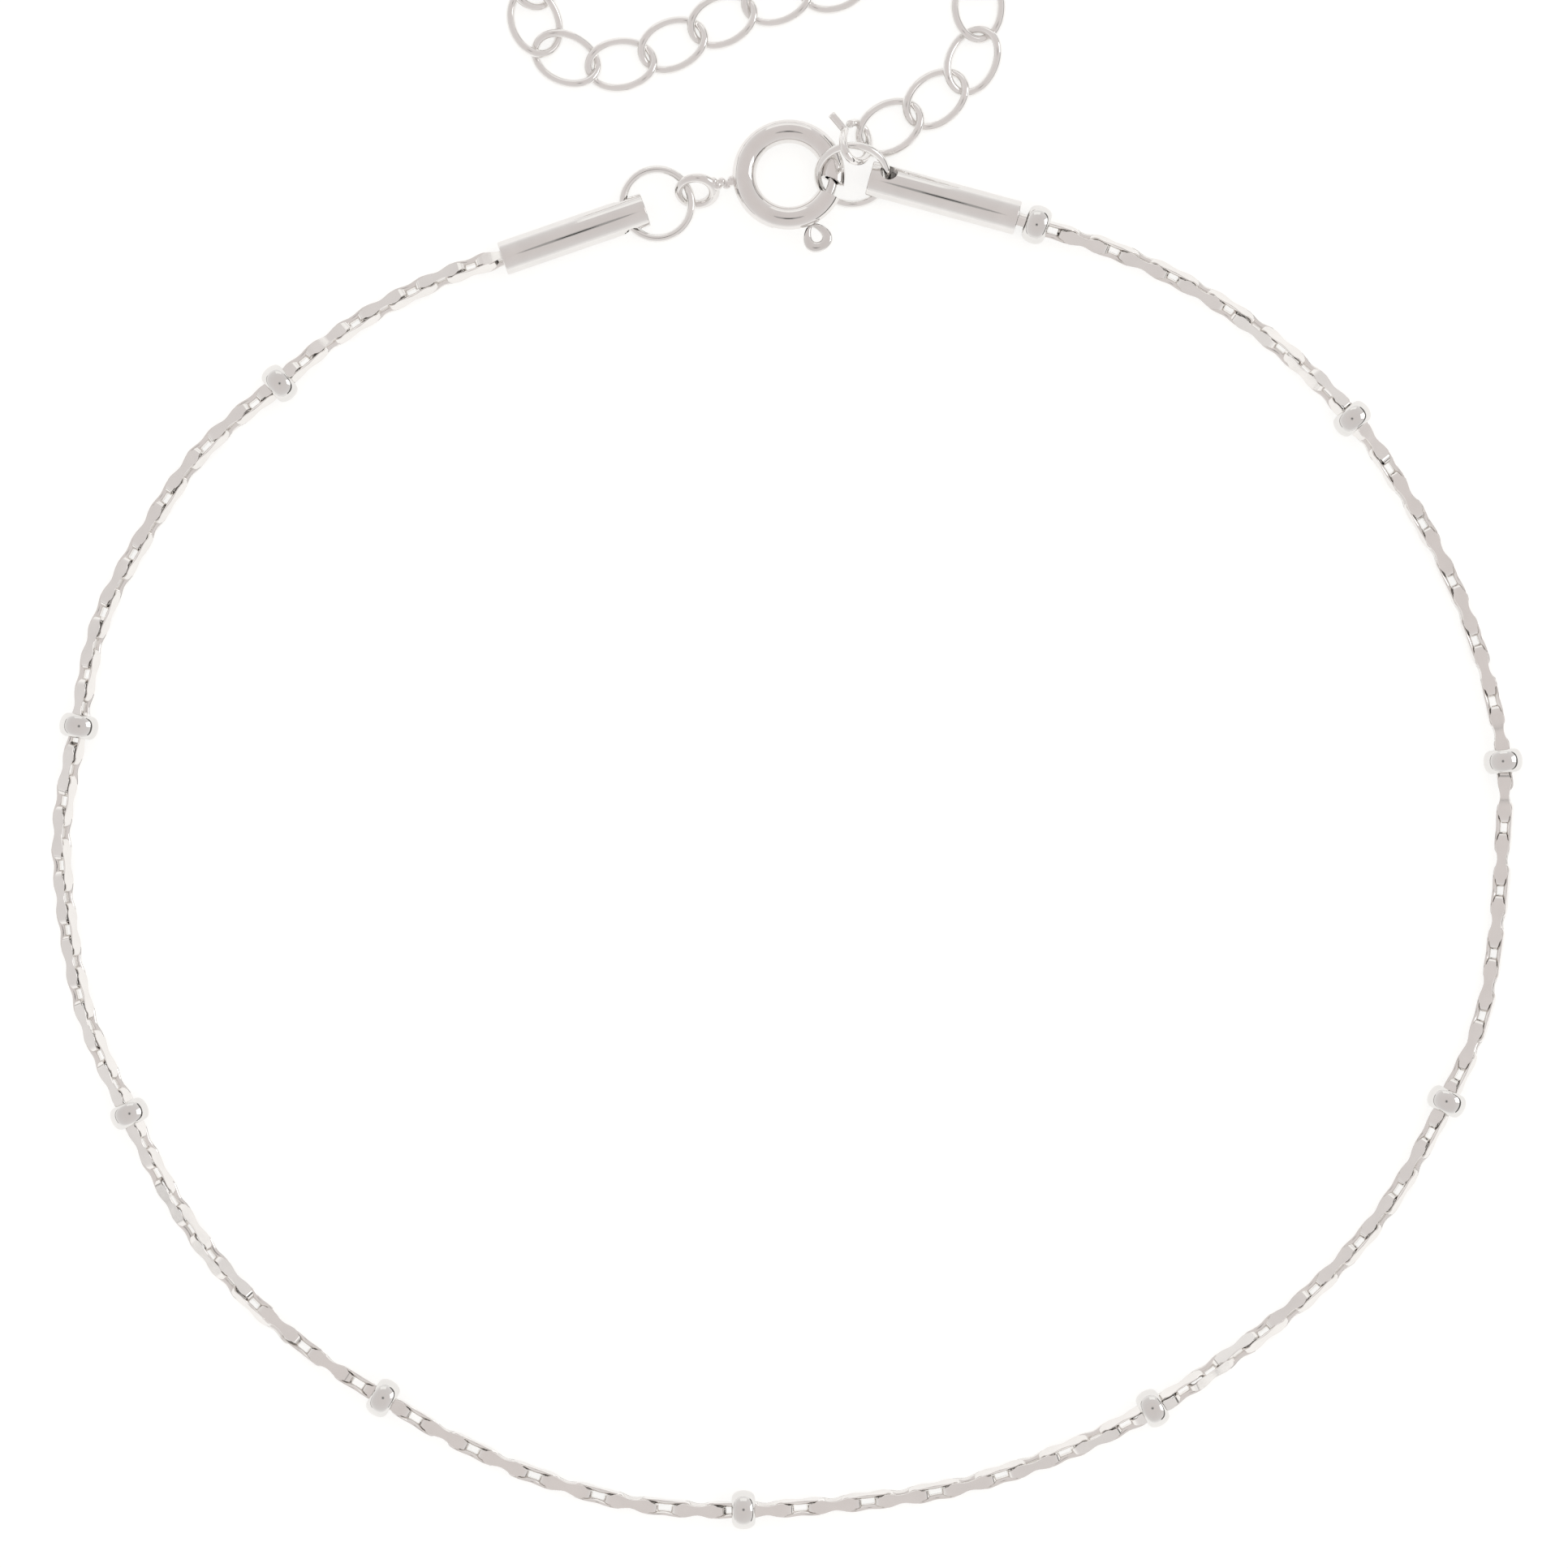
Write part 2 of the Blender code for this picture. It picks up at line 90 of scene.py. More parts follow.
# The chain's route seen from above, in millimetres, from the left cap round to the right cap.
# Columns: x, y, whether a bead sits there.
CHAIN_ROUTE = (
    (-13.74, 20.88, False),
    (-15.77, 20.15, False),
    (-18.41, 18.85, False),
    (-20.86, 17.24, False),
    (-22.97, 15.40, True),
    (-26.51, 12.39, False),
    (-29.11, 8.56, False),
    (-31.21, 4.43, False),
    (-32.05, -0.11, True),
    (-32.87, -4.56, False),
    (-32.61, -9.08, False),
    (-31.69, -13.51, False),
    (-29.77, -17.64, True),
    (-27.84, -21.57, False),
    (-25.25, -25.15, False),
    (-22.02, -28.16, False),
    (-18.30, -30.51, True),
    (-14.54, -32.72, False),
    (-10.54, -34.40, False),
    (-6.33, -35.43, False),
    (-1.98, -35.58, True),
    (2.82, -35.32, False),
    (7.60, -34.61, False),
    (12.19, -33.15, False),
    (16.54, -30.99, True),
    (20.59, -28.32, False),
    (24.38, -25.21, False),
    (27.50, -21.47, False),
    (29.84, -17.09, True),
    (31.44, -13.54, False),
    (32.14, -9.63, False),
    (32.44, -5.66, False),
    (32.42, -1.69, True),
    (31.58, 2.52, False),
    (30.11, 6.56, False),
    (28.05, 10.35, False),
    (25.58, 13.82, True),
    (22.58, 16.89, False),
    (19.12, 19.38, False),
    (15.30, 21.28, False),
    (11.28, 22.56, True),
)

# Where the chain's links lie along the route. Columns: link number, distance in millimetres.
LINK_PLACES = (
    (0, 1.60),
    (1, 3.08),
    (9, 14.73),
    (17, 26.56),
    (25, 38.22),
    (33, 50.01),
    (42, 63.35),
    (50, 75.34),
    (58, 87.61),
    (66, 99.95),
    (75, 113.49),
    (83, 125.33),
    (91, 136.80),
    (99, 148.31),
    (108, 161.54),
    (116, 173.27),
    (117, 174.75),
)

# How far the chain is rolled. Columns: distance in millimetres, degrees from upright towards the
# outside of the bracelet.
LINK_ROLLS = (
    (1.6, 30),
    (20.1, 25),
    (38.4, 33),
    (45.8, 34),
    (53.2, 36),
    (56.2, 41),
    (58.4, 45),
    (60.5, 60),
    (63.0, 76),
    (66.0, 90),
    (86.3, 97),
    (93.6, 105),
    (106.5, 125),
    (112.0, 147),
    (119.4, 150),
    (130.4, 165),
    (137.7, 168),
    (141.4, 180),
    (148.7, 185),
    (152.4, 189),
    (156.0, 199),
    (158.5, 217),
    (161.5, 228),
    (167.0, 240),
    (172.5, 247),
)

# A link: half its length and height, the length of its bent ends, its wall, half the width of its
# inside and of its ends, and the dip in the middle of its flats, whose reach is in millimetres.
LINK_HALF_LENGTH = 1.27 * MM
LINK_HALF_HEIGHT = 0.35 * MM
LINK_BEND = 0.35 * MM
LINK_WALL = 0.2 * MM
LINK_INNER_HALF = 0.11 * MM
LINK_END_HALF = 0.125 * MM
LINK_DIP = 0.012 * MM
LINK_DIP_REACH = 0.4
LINK_BEND_STEPS = 6
LINK_END_TAPER = 3

# A link's section: what its flat's edge and its inside's edge are rounded by, and the swell of its side
# at a share of the wall.
LINK_EDGE_ACROSS = 0.015 * MM
LINK_EDGE_DEPTH = 0.022 * MM
LINK_SWELL = 0.012 * MM
LINK_SWELL_AT = 0.55
LINK_INNER_EDGE_OUT = 0.005 * MM
LINK_INNER_EDGE_IN = 0.03 * MM
LINK_INNER_EDGE_DEPTH = 0.025 * MM

# How the links lie: the share of their half length at which they follow the route, the turn from one
# row to the other, and how far they are rolled and pitched at random, in degrees.
LINK_HOLD = 0.8
LINK_ROW_TURN = 90
LINK_SEED = 7
LINK_ROLL_JITTER = 3.0
LINK_PITCH_JITTER = 1.3

# Half the width of a link's flat. Columns: distance from the link's middle, half width, in millimetres.
LINK_FLAT = (
    (0.00, 0.205),
    (0.16, 0.220),
    (0.32, 0.258),
    (0.48, 0.296),
    (0.62, 0.318),
    (0.74, 0.312),
    (0.84, 0.280),
    (0.92, 0.225),
)

# The jump rings.
LEFT_RING_WIRE = 0.38 * MM
LEFT_RING_OUTER = 3.50 * MM
LEFT_RING_CENTRE = Vector((-5.897, 23.555, 0.755)) * MM
LEFT_RING_TILT = 0
RIGHT_RING_WIRE = 0.36 * MM
RIGHT_RING_OUTER = 3.50 * MM
RIGHT_RING_CENTRE = Vector((2.94, 24.82, 1.15)) * MM
RIGHT_RING_TILT = 38

# The bolt ring clasp. The tube's ends slant: each has its direction in degrees at the ring's inside and
# at its outside.
CLASP_CENTRE = Vector((0.07, 24.83, 1.08)) * MM
CLASP_TILT = -8
CLASP_OUTER = 5.12 * MM
CLASP_TUBE = 1.08 * MM
CLASP_WALL = 0.16 * MM
CLASP_RADIUS = (CLASP_OUTER - CLASP_TUBE) / 2
CLASP_UPPER_END = (-3.0, -11.6)
CLASP_LOWER_END = (-29.4, -26.7)
SHARP_ANGLE = 40

# The trigger's slot: its ends in degrees, its lower and upper edge and its inner radius.
SLOT_TURNS = (-24, -106)
SLOT_HEIGHTS = (-0.34 * MM, 0.10 * MM)
SLOT_INNER = 2.14 * MM

# The eyelet, whose wire grows from thin to thick towards the clasp, and its neck.
EYELET_CENTRE = Vector((-4.12, 24.125, 0.82)) * MM
EYELET_RADIUS = 0.81 * MM
EYELET_WIRE = (0.38 * MM, 0.52 * MM)
EYELET_TILT = 48
NECK_DIAMETER = 0.32 * MM
NECK_AT_EYELET = Vector((-3.38, 24.38, 1.10)) * MM
NECK_AT_TUBE = Vector((-2.36, 24.49, 1.12)) * MM

# The solder that joins the eyelet to the tube, as grains. Columns: x, y, z, radius, in millimetres.
SOLDER_GRAINS = (
    (-3.18, 24.36, 1.10, 0.25),
    (-2.97, 24.53, 1.16, 0.19),
    (-2.74, 24.36, 1.08, 0.19),
    (-2.50, 24.60, 1.12, 0.21),
    (-3.34, 24.52, 1.22, 0.20),
)

# The bolt and its trigger loop. The loop's outline and its hole run from a near to a far end, measured
# from the ring's centre, and grow wider towards the far end by their taper.
BOLT_WIRE = 0.44 * MM
BOLT_TIP = 3
BOLT_TAIL = -75
BOLT_STEPS = 32
TRIGGER_ANGLE = -66
TRIGGER_LIFT = -0.12 * MM
TRIGGER_NECK = 0.26 * MM
TRIGGER_NECK_IN_LOOP = TRIGGER_NECK / 4
TRIGGER_OUTER = (2.48 * MM, 3.80 * MM)
TRIGGER_WIDTH = 1.31 * MM
TRIGGER_THICKNESS = 0.38 * MM
TRIGGER_ROUNDNESS = 0.7
TRIGGER_TAPER = 0.18
TRIGGER_HOLE = (2.64 * MM, 3.34 * MM)
TRIGGER_HOLE_WIDTH = 0.42 * MM
TRIGGER_HOLE_TAPER = 0.45

# The extension chain's links, in millimetres, from the clasp's end. Columns: x, y of the middle.
EXTENSION_LINKS = (
    (4.64, 27.05),
    (6.73, 28.34),
    (8.39, 30.07),
    (8.65, 32.53),
    (8.35, 34.48),
    (6.70, 35.70),
    (4.60, 34.37),
    (2.13, 33.49),
    (-0.48, 32.90),
    (-2.94, 31.91),
    (-5.19, 30.80),
    (-7.54, 29.90),
    (-10.03, 30.16),
    (-11.45, 31.83),
    (-11.41, 34.00),
)
EXTENSION_WIRE = 0.38 * MM
EXTENSION_HALF_LENGTH = 1.5 * MM
EXTENSION_HALF_WIDTH = 1.05 * MM
EXTENSION_TWIST = 0.27 / MM

# The small open ring that joins the extension chain to the right jump ring: the middle and half axes of
# its tilted oval, its gap in degrees, and how far one of its ends is drawn out.
JOIN_CENTRE = Vector((3.11, 26.28, 1.46)) * MM
JOIN_EAST = Vector((0.60, 0.0, -0.95)) * MM
JOIN_NORTH = Vector((0.0, 0.95, -0.80)) * MM
JOIN_WIRE = 0.36 * MM
JOIN_CUT = (118, 148)
JOIN_TAIL = Vector((-0.60, 0.72, -0.10)) * MM
JOIN_ACROSS = Vector((1, 0, 1))
JOIN_STEPS = 72
JOIN_TAIL_STEPS = 8

# The metals. Columns: name, colour, roughness, size of the fine grain in millimetres, strength of the
# relief, radius in metres round the piece's own Z inside which the metal is dull.
METALS = (
    ("faceted_silver", (0.87, 0.85, 0.83), 0.10, 0.06, 0.10, 0),
    ("mirror_silver", (0.81, 0.80, 0.785), 0.05, 0.08, 0.05, 0),
    ("tube_silver", (0.83, 0.815, 0.80), 0.06, 0.07, 0.06, CAP_BORE / 2 + CAP_EDGE),
    ("ring_wire_silver", (0.88, 0.87, 0.855), 0.08, 0.07, 0.08, 0),
    ("clasp_silver", (0.83, 0.81, 0.795), 0.06, 0.09, 0.06, 0),
    ("bolt_wire_silver", (0.79, 0.775, 0.76), 0.09, 0.07, 0.08, 0),
    ("extension_wire_silver", (0.87, 0.855, 0.84), 0.09, 0.07, 0.08, 0),
)

# What all the metals share: soft tarnish, uneven polish, the depth of the relief and the dull bores.
TARNISH_SIZE = 1.1 * MM
TARNISH_DARK = 0.95
TARNISH_ENDS = (0.3, 0.7)
POLISH_SIZE = 0.35 * MM
POLISH_ENDS = (0.6, 1.4)
RELIEF_DEPTH = 0.004 * MM
BORE_ROUGHNESS = 0.55
BORE_BLUR = 1.04

# The light. The floor has some light of its own, and a soft lamp stands above it.
FLOOR_SIZE = 4.0
FLOOR_COLOUR = (0.44, 0.44, 0.435)
FLOOR_GLOW = 1.55
LAMP_SIZE = 0.9
LAMP_ENERGY = 1.2
LAMP_PLACE = Vector((0.1, 0.15, 0.8))
BLACK = (0.0, 0.0, 0.0)

# The tent's light. Columns: sine of the elevation, red, green, blue.
SKY = (
    (0.0, 0.98, 0.97, 0.96),
    (0.12, 0.93, 0.915, 0.905),
    (0.30, 0.80, 0.775, 0.765),
    (0.60, 0.76, 0.725, 0.715),
    (1.0, 0.74, 0.695, 0.68),
)

# Cards. Columns: name, direction in degrees from +X, distance in metres, lowest and highest elevation in
# degrees, width in metres, colour, strength.
PANELS = (
    ("north_band", 90, 1.5, 13, 32, 1.0, (1.0, 0.99, 0.97), 1.06),
    ("east_card", 12, 1.6, 13, 42, 0.9, (1.0, 1.0, 1.0), 1.9),
    ("east_gap", 2, 1.6, 0, 13, 4.6, (1.0, 0.96, 0.93), 0.14),
    ("west_gap", 185, 1.6, 0, 5, 2.4, (1.0, 0.96, 0.93), 0.40),
)

# Discs at the camera. Columns: name, radius and height above the camera in millimetres, strength.
CAMERA_DISCS = (
    ("camera_body", 46, 8, 0.42),
    ("camera_lens", 17, 5, 0.03),
)
CAMERA_COLOUR = (1.0, 0.97, 0.95)


def turned(degrees):
    return Matrix.Rotation(math.radians(degrees), 4, "X")


def on_circle(radius, degrees, height=0.0):
    angle = math.radians(degrees)
    return Vector((radius * math.cos(angle), radius * math.sin(angle), height))


def table_value(rows, at):
    """The second column of rows at a value of the first, on straight lines between the rows."""
    for (x0, y0), (x1, y1) in zip(rows, rows[1:]):
        if at <= x1:
            return y0 + (y1 - y0) * (at - x0) / (x1 - x0)
    return rows[-1][1]


def smooth_curve(points):
    """Close samples of the Catmull-Rom curve through points, with its ends continued straight."""
    ends = [2 * points[0] - points[1], *points, 2 * points[-1] - points[-2]]
    samples = []
    for a, b, c, d in zip(ends, ends[1:], ends[2:], ends[3:]):
        for step in range(CURVE_STEPS):
            t = step / CURVE_STEPS
            linear = (c - a) * t
            square = (2 * a - 5 * b + 4 * c - d) * t**2
            cubic = (3 * b - a - 3 * c + d) * t**3
            samples.append((2 * b + linear + square + cubic) / 2)
    samples.append(points[-1])
    return samples


class Route:
    """A plan curve that is read by the distance along it."""

    def __init__(self, points):
        self.samples = smooth_curve(points)
        self.at = [0.0]
        for a, b in zip(self.samples, self.samples[1:]):
            self.at.append(self.at[-1] + (b - a).length)
        self.knots = [self.at[i * CURVE_STEPS] for i in range(len(points))]
        self.length = self.at[-1]

    def point(self, distance):
        distance = min(max(distance, 0.0), self.length)
        i = next(i for i in range(1, len(self.at)) if self.at[i] >= distance)
        share = (distance - self.at[i - 1]) / (self.at[i] - self.at[i - 1])
        return self.samples[i - 1].lerp(self.samples[i], share)


class ChainRoute(Route):
    """The chain's route with its height: low on the surface, raised through each bead and cap."""

    def __init__(self):
        left_axis = (LEFT_CAP_RING_END - LEFT_CAP_CHAIN_END).normalized()
        right_axis = (RIGHT_CAP_RING_END - RIGHT_CAP_CHAIN_END).normalized()
        plan = [LEFT_CAP_CHAIN_END + left_axis * CHAIN_IN_CAP, LEFT_CAP_CHAIN_END]
        plan += [Vector((x, y)) * MM for x, y, _ in CHAIN_ROUTE]
        plan += [RIGHT_CAP_CHAIN_END, RIGHT_CAP_CHAIN_END + right_axis * CHAIN_IN_CAP]
        super().__init__(plan)
        self.bead_places = [self.knots[i + 2] for i, row in enumerate(CHAIN_ROUTE) if row[2]]
        self.supports = [(place, BEAD_DIAMETER / 2) for place in self.bead_places]
        self.supports += [(self.knots[1], CAP_AXIS_HEIGHT), (self.knots[-2], CAP_AXIS_HEIGHT)]

    def height(self, distance):
        if distance < self.knots[1] or distance > self.knots[-2]:
            return CAP_AXIS_HEIGHT
        best = CHAIN_LOW
        for place, high in self.supports:
            away = max(0.0, abs(distance - place) - STRAIGHT_HALF) / CHAIN_RISE_LENGTH
            if away < 1:
                raised = CHAIN_LOW + (high - CHAIN_LOW) * (0.5 + 0.5 * math.cos(math.pi * away))
                best = max(best, raised)
        return best

    def place(self, distance):
        return self.point(distance).to_3d() + UP * self.height(distance)


# Mesh making


def skin(rings, closed_along=False, caps=False):
    """Vertices and faces of the surface through rings of points, which all have the same count."""
    count = len(rings[0])
    verts = [point for ring in rings for point in ring]
    faces = []
    spans = len(rings) if closed_along else len(rings) - 1
    for i in range(spans):
        here, there = i * count, (i + 1) % len(rings) * count
        for j in range(count):
            k = (j + 1) % count
            faces.append((here + j, here + k, there + k, there + j))
    if caps:
        faces.append(tuple(range(count))[::-1])
        last = (len(rings) - 1) * count
        faces.append(tuple(last + j for j in range(count)))
    return verts, faces


def make_mesh(name, verts, faces):
    mesh = bpy.data.meshes.new(name)
    mesh.from_pydata(verts, [], faces)
    mesh.validate()
    shape = bmesh.new()
    shape.from_mesh(mesh)
    bmesh.ops.recalc_face_normals(shape, faces=shape.faces)
    shape.to_mesh(mesh)
    shape.free()
    mesh.shade_smooth()
    return mesh


def add_object(name, data, matrix=None):
    obj = bpy.data.objects.new(name, data)
    bpy.context.scene.collection.objects.link(obj)
    if matrix is not None:
        obj.matrix_world = matrix
    return obj


def joined(base, others):
    """The base object after boolean steps. Columns of others: operation, object."""
    for operation, other in others:
        step = base.modifiers.new(operation, "BOOLEAN")
        step.operation = operation
        step.solver = "EXACT"
        step.object = other
    bpy.context.view_layer.update()
    graph = bpy.context.evaluated_depsgraph_get()
    mesh = bpy.data.meshes.new_from_object(base.evaluated_get(graph))
    name, matrix = base.name, base.matrix_world.copy()
    for obj in [base] + [other for _, other in others]:
        bpy.data.objects.remove(obj, do_unlink=True)
    mesh.shade_smooth()
    return add_object(name, mesh, matrix)


def finish_piece(obj, material, nodes, body="bracelet"):
    """Gives a piece its material, hides the CAD nodes it stands for and attaches it to the body it rides
    on.
    """
    obj.data.materials.clear()
    obj.data.materials.append(material)
    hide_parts(*nodes)
    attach(obj, body)


def wire_rings(points, normals, diameter, sides=20, closed=True):
    """Rings of points round a wire along points. Each normal is across the wire at its point."""
    rings = []
    count = len(points)
    for i, (point, normal) in enumerate(zip(points, normals)):
        before = points[i - 1] if closed or i else points[i]
        after = points[(i + 1) % count] if closed or i < count - 1 else points[i]
        along = (after - before).normalized()
        side = (normal - along * normal.dot(along)).normalized()
        other = along.cross(side)
        turns = [2 * math.pi * j / sides for j in range(sides)]
        rings.append([point + (side * math.cos(a) + other * math.sin(a)) * diameter / 2 for a in turns])
    return rings


# The chain


def link_stations():
    """Once round a link. Columns: place along, height and the outward direction in the link's own
    plane, half width of the flat."""
    flat_end = LINK_HALF_LENGTH - LINK_BEND
    quarter = []
    for x, half in LINK_FLAT:
        share = min(1.0, x / LINK_DIP_REACH)
        dip = LINK_DIP * (1 - share * share * (3 - 2 * share))
        quarter.append((x * MM, LINK_HALF_HEIGHT - dip, (0.0, 1.0), half * MM))
    last_half = LINK_FLAT[-1][1] * MM
    for step in range(1, LINK_BEND_STEPS + 1):
        a = math.pi / 2 * step / LINK_BEND_STEPS
        x = flat_end + LINK_BEND * math.sin(a)
        z = LINK_HALF_HEIGHT * math.cos(a)
        out = Vector((LINK_HALF_HEIGHT * math.sin(a), LINK_BEND * math.cos(a))).normalized()
        half = LINK_END_HALF + (last_half - LINK_END_HALF) * math.cos(a) ** LINK_END_TAPER
        quarter.append((x, z, tuple(out), half))
    down = [(x, -z, (ox, -oz), half) for x, z, (ox, oz), half in quarter[-2::-1]]
    right = quarter + down
    left = [(-x, z, (-ox, oz), half) for x, z, (ox, oz), half in right[-2:0:-1]]
    return right + left


def link_section(half):
    """A link's section: (sideways, inwards) from the middle of its flat."""
    side = [
        (half - LINK_EDGE_ACROSS, 0.0),
        (half, LINK_EDGE_DEPTH),
        ((half + LINK_INNER_HALF) / 2 + LINK_SWELL, LINK_WALL * LINK_SWELL_AT),
        (LINK_INNER_HALF + LINK_INNER_EDGE_OUT, LINK_WALL - LINK_INNER_EDGE_DEPTH),
        (LINK_INNER_HALF - LINK_INNER_EDGE_IN, LINK_WALL),
    ]
    return side + [(-across, depth) for across, depth in side[::-1]]


def link_rings(matrix):
    """A link's sections, placed by matrix and then lifted, so that no corner is below the surface."""
    rings = []
    for x, z, (ox, oz), half in link_stations():
        ring = []
        for across, depth in link_section(half):
            ring.append(matrix @ Vector((x - ox * depth, across, z - oz * depth)))
        rings.append(ring)
    sunk = max(0.0, -min(point.z for ring in rings for point in ring))
    return [[point + UP * sunk for point in ring] for ring in rings]


def link_matrix(route, distance, roll, pitch):
    """A link's place: X along the chain, Z the way its flats face."""
    start = route.place(distance - LINK_HALF_LENGTH * LINK_HOLD)
    end = route.place(distance + LINK_HALF_LENGTH * LINK_HOLD)
    middle = (start + end + route.place(distance) * 2) / 4
    along = (end - start).normalized()
    outside = Vector((along.y, -along.x, 0)).normalized()
    upright = outside.cross(along).normalized()
    face = upright * math.cos(roll) + outside * math.sin(roll)
    along = (along + face * math.tan(pitch)).normalized()
    face = (face - along * face.dot(along)).normalized()
    across = face.cross(along)
    turn = Matrix((along, across, face)).transposed().to_4x4()
    return Matrix.Translation(middle) @ turn


def build_chain(route, material):
    draw = random.Random(LINK_SEED)
    count = LINK_PLACES[-1][0] + 1
    for row, name in enumerate(("chain_links_even", "chain_links_odd")):
        verts, faces, sharp = [], [], []
        for number in range(row, count, 2):
            distance = table_value(LINK_PLACES, number) * MM
            roll = table_value(LINK_ROLLS, distance / MM) - LINK_ROW_TURN * row
            roll += draw.uniform(-LINK_ROLL_JITTER, LINK_ROLL_JITTER)
            pitch = draw.uniform(-LINK_PITCH_JITTER, LINK_PITCH_JITTER)
            matrix = link_matrix(route, distance, math.radians(roll), math.radians(pitch))
            rings = link_rings(matrix)
            start = len(verts)
            link_verts, link_faces = skin(rings, closed_along=True)
            verts += link_verts
            faces += [tuple(start + v for v in face) for face in link_faces]
            width = len(rings[0])
            for i in range(len(rings)):
                here, there = start + i * width, start + (i + 1) % len(rings) * width
                sharp += [(here, there), (here + width - 1, there + width - 1)]
        mesh = make_mesh(name, verts, faces)
        edges = {tuple(sorted(pair)) for pair in sharp}
        for edge in mesh.edges:
            edge.use_edge_sharp = tuple(sorted(edge.vertices)) in edges
        finish_piece(add_object(name, mesh), material, ["chain"])


# Beads


def bead_profile():
    """A rounded rondelle as (radius, height) pairs, from the top of its bore round to the bottom."""
    bore, reach = BEAD_BORE / 2, (BEAD_DIAMETER - BEAD_BORE) / 2
    half = BEAD_LENGTH / 2
    outside = []
    for i in range(BEAD_STEPS + 1):
        a = math.pi / 2 - math.pi * i / BEAD_STEPS
        outside.append((bore + reach * max(0.0, math.cos(a)) ** BEAD_ROUNDNESS, half * math.sin(a)))
    return outside


def lathe(profile, sides):
    """The surface that a closed profile of (radius, height) pairs sweeps round Z."""
    rings = []
    for j in range(sides):
        a = 2 * math.pi * j / sides
        rings.append([Vector((r * math.cos(a), r * math.sin(a), z)) for r, z in profile])
    return skin(rings, closed_along=True)


def build_beads(route, material):
    for number, place in enumerate(route.bead_places, start=1):
        start, end = route.point(place - STRAIGHT_HALF), route.point(place + STRAIGHT_HALF)
        centre = ((start + end) / 2).to_3d() + UP * (BEAD_DIAMETER / 2)
        turn = (end - start).to_3d().to_track_quat("Z", "Y").to_matrix().to_4x4()
        matrix = Matrix.Translation(centre) @ turn
        name = f"polished_bead_{number:02d}"
        mesh = make_mesh(name, *lathe(bead_profile(), BEAD_SIDES))
        bead = add_object(name, mesh, matrix)
        finish_piece(bead, material, [f"bead_{number:02d}"])


# Caps


def round_corner(centre, radius, start, end, steps=CAP_CORNER_STEPS):
    """Points on an arc, as (radius, height) pairs. Angles in degrees."""
    points = []
    for i in range(steps + 1):
        a = math.radians(start + (end - start) * i / steps)
        points.append((centre[0] + radius * math.cos(a), centre[1] + radius * math.sin(a)))
    return points


def cap_profile(length):
    """The cap's wall, cut lengthways, with rounded edges."""
    outer, bore = CAP_DIAMETER / 2, CAP_BORE / 2
    edge, small = CAP_EDGE, CAP_INNER_EDGE
    profile = round_corner((bore + small, length - small), small, 180, 90, CAP_INNER_CORNER_STEPS)
    profile += round_corner((outer - edge, length - edge), edge, 90, 0)
    profile += round_corner((outer - edge, edge), edge, 0, -90)
    profile += round_corner((bore + small, small), small, 270, 180, CAP_INNER_CORNER_STEPS)
    return profile


def rod(name, start, end, diameter, sides=48):
    along = (end - start).normalized()
    across = along.orthogonal().normalized()
    rings = wire_rings([start, end], [across, across], diameter, sides, closed=False)
    return add_object(name, make_mesh(name, *skin(rings, caps=True)))


def build_cap(node, name, ring_end, chain_end, material):
    along = (chain_end - ring_end).to_3d()
    level = Vector((-along.y, along.x, 0)).normalized()
    if level.y < 0:
        level.negate()
    base = ring_end.to_3d() + UP * CAP_AXIS_HEIGHT
    turn = along.to_track_quat("Z", "Y").to_matrix().to_4x4()
    matrix = Matrix.Translation(base) @ turn
    mesh = make_mesh(name, *lathe(cap_profile(along.length), CAP_SIDES))
    tube = add_object(name, mesh, matrix)
    cuts = []
    for _, from_end, diameter, direction in [row for row in CAP_HOLES if row[0] == node]:
        angle = math.radians(direction)
        start = base + along.normalized() * from_end * MM
        end = start + (level * math.cos(angle) + UP * math.sin(angle)) * CAP_DIAMETER
        cuts.append(("DIFFERENCE", rod("hole", start, end, diameter * MM)))
    tube = joined(tube, cuts)
    tube.data.set_sharp_from_angle(angle=math.radians(SHARP_ANGLE))
    finish_piece(tube, material, [node])


# Jump rings


def torus_mesh(name, radius, wire, around=96, across=20):
    points = [on_circle(radius, 360 * i / around) for i in range(around)]
    rings = wire_rings(points, [UP] * around, wire, across)
    return make_mesh(name, *skin(rings, closed_along=True))


def build_jump_rings(material):
    """Both rings. Columns of rows: CAD node, outer diameter, wire, centre, tilt."""
    rows = (
        ("jump_ring_left", LEFT_RING_OUTER, LEFT_RING_WIRE, LEFT_RING_CENTRE, LEFT_RING_TILT),
        ("jump_ring_right", RIGHT_RING_OUTER, RIGHT_RING_WIRE, RIGHT_RING_CENTRE, RIGHT_RING_TILT),
    )
    for node, outer, wire, centre, tilt in rows:
        seat = Matrix.Translation(centre) @ turned(tilt)
        name = f"{node}_wire"
        ring = add_object(name, torus_mesh(name, (outer - wire) / 2, wire), seat)
        finish_piece(ring, material, [node])


# The clasp


def clasp_seat():
    return Matrix.Translation(CLASP_CENTRE) @ turned(CLASP_TILT)


